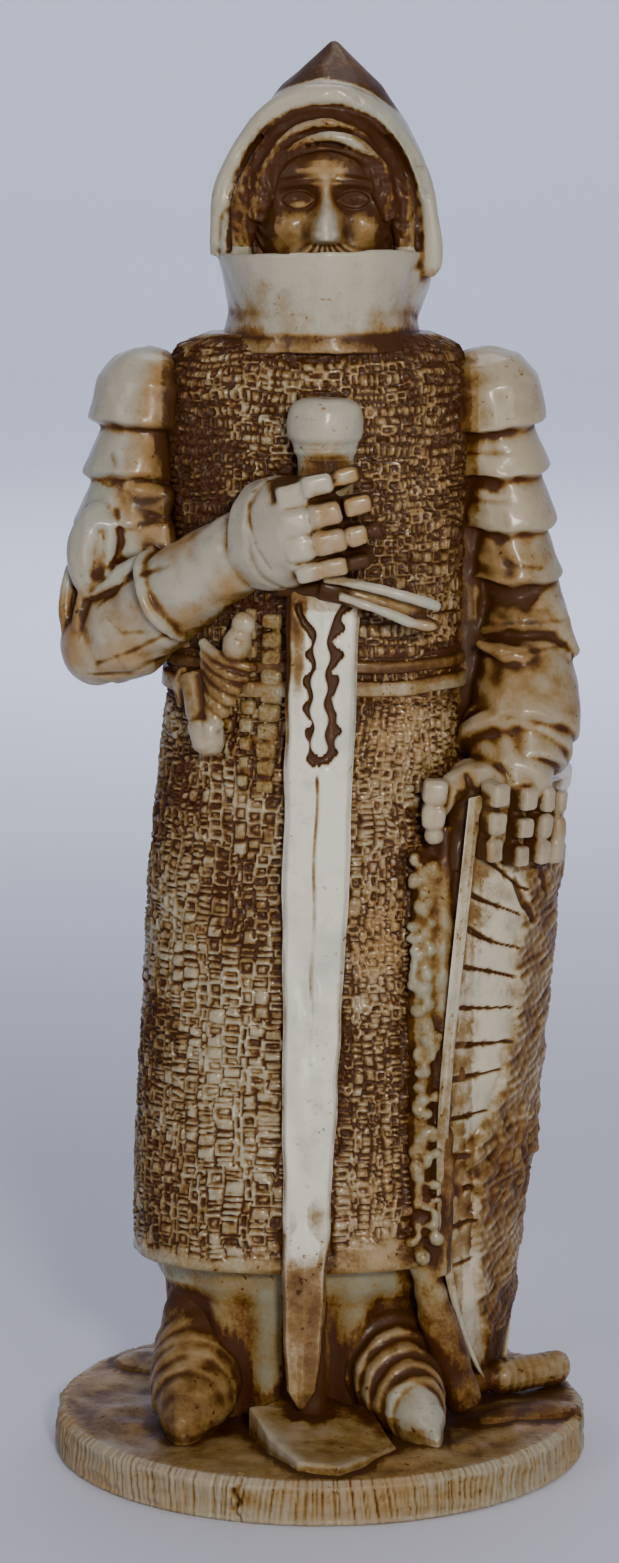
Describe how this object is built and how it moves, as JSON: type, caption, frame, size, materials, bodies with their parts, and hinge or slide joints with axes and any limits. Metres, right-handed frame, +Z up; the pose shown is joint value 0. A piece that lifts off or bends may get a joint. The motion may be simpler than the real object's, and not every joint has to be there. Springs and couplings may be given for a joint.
{
  "type": "medieval knight statue",
  "caption": "Small cast figure of a medieval knight in mail and plate, resting one hand on a sword and the other on a tall shield, on a round base.",
  "frame": {"origin": "centre of the round base's underside", "axes": "+Z up through the figure to the helmet's point, the knight faces -Y, +X towards the knight's own left side, where the shield is"},
  "size_m": [0.092, 0.092, 0.24],
  "materials": {
    "resin": "ivory cast resin with a brown wash in the hollows, under a glossy varnish"
  },
  "bodies": {
    "root": {"knight_statue": "resin"}
  },
  "joints": []
}
